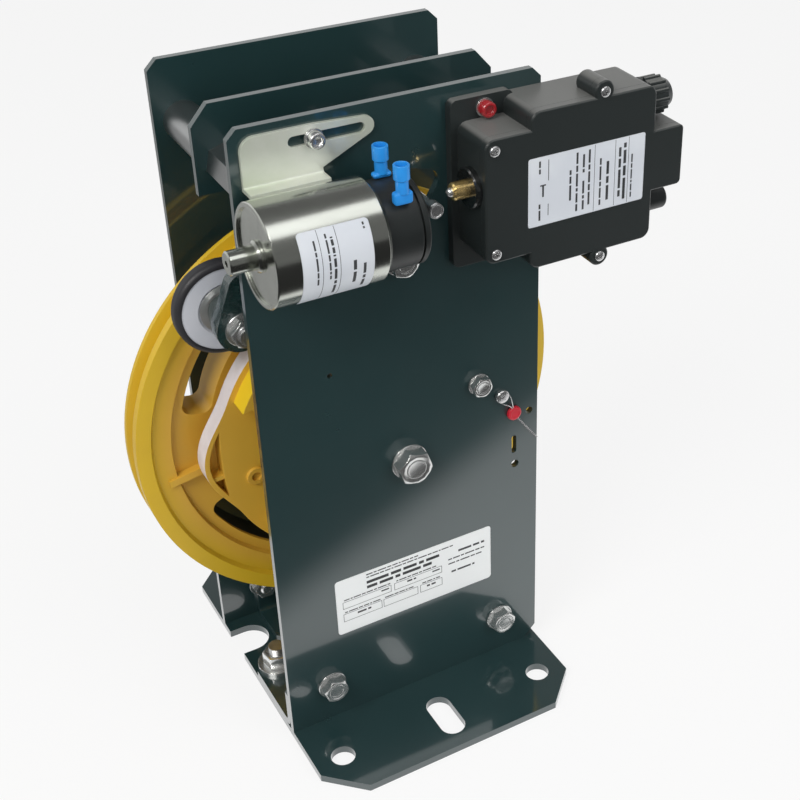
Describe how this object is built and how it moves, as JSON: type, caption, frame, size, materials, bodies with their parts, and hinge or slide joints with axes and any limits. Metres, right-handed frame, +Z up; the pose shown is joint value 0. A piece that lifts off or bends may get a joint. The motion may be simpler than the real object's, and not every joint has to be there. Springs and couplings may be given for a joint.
{
  "type": "overspeed governor",
  "caption": "Lift overspeed governor: side plates on a foundation plate, grooved rope sheave with lobed cam and ratchet, roller rocker with pawl, trip solenoid and safety switch.",
  "frame": {"origin": "on the ground, centre of the foundation plate's underside, below the sheave axle", "axes": "+X to the right seen from the front plate, +Y to the rear along the sheave axle, +Z up"},
  "size_m": [0.2909, 0.237, 0.3926],
  "materials": {
    "green_paint": "gloss",
    "cast_green": "gloss",
    "yellow_paint": "gloss",
    "zinc": "satin",
    "nickel": "gloss",
    "bright_steel": "satin",
    "hard_steel": "satin",
    "spring_steel": "satin",
    "black_screw": "satin",
    "bronze": "satin",
    "brass": "satin",
    "rubber": "matte",
    "pale_plastic": "satin",
    "black_plastic": "satin",
    "blue_plastic": "satin",
    "red_paint": "gloss",
    "red_plastic": "satin"
  },
  "bodies": {
    "frame": {"base_plate": "green_paint", "front_side_plate": "green_paint", "rear_side_plate": "green_paint", "middle_plate": "green_paint", "front_angle": "green_paint", "rear_angle": "green_paint", "angle_studs": "zinc", "angle_washers": "zinc", "angle_nuts": "zinc", "side_bolts": "zinc", "side_nuts": "zinc", "round_spacers": "bright_steel", "hex_spacers": "zinc", "front_spacer_screws": "zinc", "rear_spacer_screws": "zinc", "axle": "bright_steel", "axle_sleeves": "bright_steel", "axle_bolts": "zinc", "pivot_shaft": "bright_steel", "pivot_clip": "bright_steel", "pivot_bolt": "zinc", "spring_anchor": "bright_steel", "anchor_bolt": "zinc", "seal_screw": "red_paint", "wire_seal": "red_plastic", "seal_wire": "bright_steel", "solenoid_can": "nickel", "solenoid_cap": "black_plastic", "cable_connectors": "blue_plastic", "solenoid_bracket": "zinc", "bracket_screw": "zinc", "small_washers": "zinc", "switch_housing": "black_plastic", "switch_cover": "black_plastic", "cover_screws": "zinc", "switch_screws": "red_paint", "plunger_collar": "black_plastic", "gland_body": "black_plastic", "gland_nut": "black_plastic", "blanking_plug": "black_plastic"},
    "sheave": {"sheave": "yellow_paint", "cam_wheel": "yellow_paint", "cam_screws": "yellow_paint", "sheave_bearings": "bright_steel"},
    "rocker": {"rocker_arm": "cast_green", "pivot_bush": "bronze", "pawl": "hard_steel", "pawl_screws": "black_screw", "trip_pin": "bright_steel", "spring_post": "bright_steel", "rocker_spring": "spring_steel", "roller_pin": "bright_steel", "roller_nut": "zinc"},
    "roller": {"roller_tyre": "rubber", "roller_hub": "pale_plastic", "roller_bearing": "bright_steel"},
    "trip_plunger": {"solenoid_plunger": "nickel"},
    "switch_plunger": {"switch_plunger": "brass", "plunger_ball": "bright_steel"}
  },
  "joints": [
    {"name": "sheave_spin", "type": "hinge", "parent": "frame", "child": "sheave", "pos_m": [0, 0, 0.1754], "axis": [0, 1, 0], "continuous": true},
    {"name": "rocker_swing", "type": "hinge", "parent": "frame", "child": "rocker", "pos_m": [0, 0, 0.304], "axis": [0, 1, 0], "range_deg": [-6.6, 12.8], "stiffness_Nm_per_rad": 12, "deforming": ["rocker_spring"]},
    {"name": "roller_spin", "type": "hinge", "parent": "rocker", "child": "roller", "pos_m": [-0.0804, 0, 0.2754], "axis": [0, 1, 0], "continuous": true},
    {"name": "trip_slide", "type": "slide", "parent": "frame", "child": "trip_plunger", "axis": [1, 0, 0], "range_m": [0, 0.008], "stiffness_N_per_m": 60},
    {"name": "switch_slide", "type": "slide", "parent": "frame", "child": "switch_plunger", "axis": [1, 0, 0], "range_m": [0, 0.004], "stiffness_N_per_m": 200}
  ]
}
